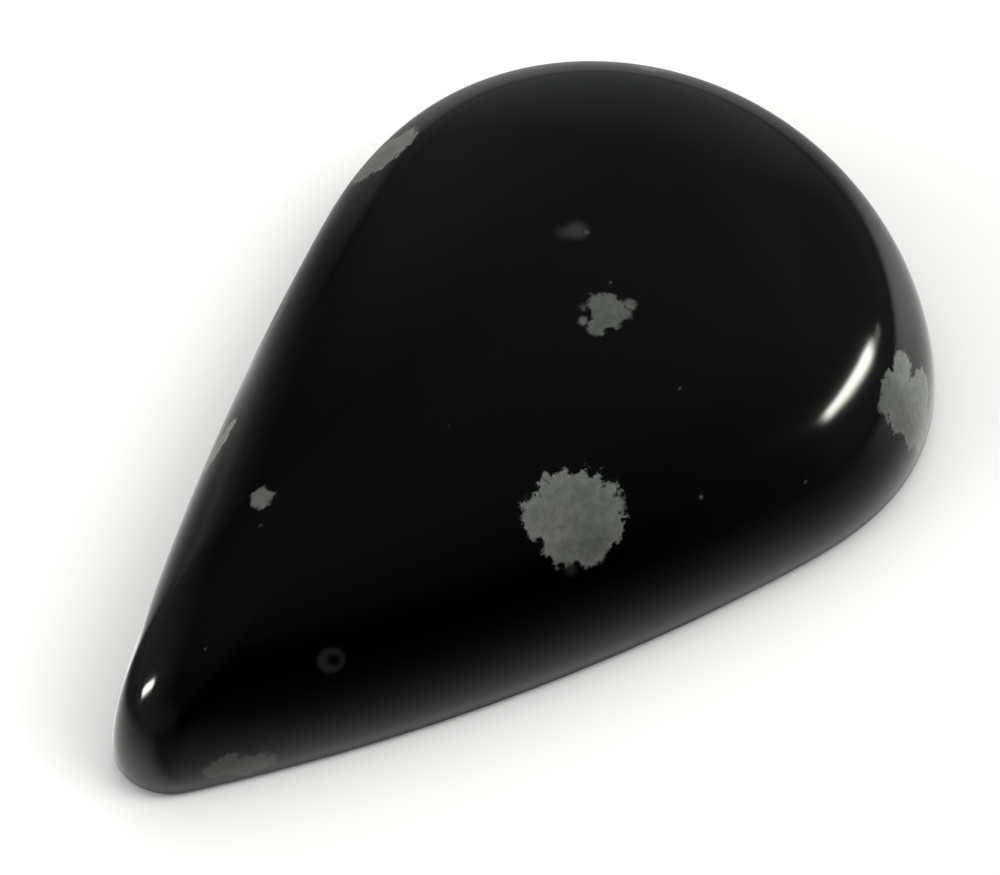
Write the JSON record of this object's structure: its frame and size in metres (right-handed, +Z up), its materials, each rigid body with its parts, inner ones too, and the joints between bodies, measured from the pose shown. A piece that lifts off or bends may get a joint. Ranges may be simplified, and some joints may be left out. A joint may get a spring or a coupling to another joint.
{
  "type": "snowflake obsidian cabochon",
  "caption": "Polished pear-shaped cabochon of black volcanic glass with grey snowflake spots, domed on top and ground flat on the back.",
  "frame": {"origin": "centre of the stone's outline on the plane of its flat back, which it rests on", "axes": "+X along the pear from its tip to its round end, +Y across it, +Z up through the dome"},
  "size_m": [0.038, 0.025, 0.0088],
  "materials": {
    "obsidian_glass": "polished black glass with grey snowflake-like crystal spots, back ground satin"
  },
  "bodies": {
    "root": {"cabochon": "obsidian_glass"}
  },
  "joints": []
}
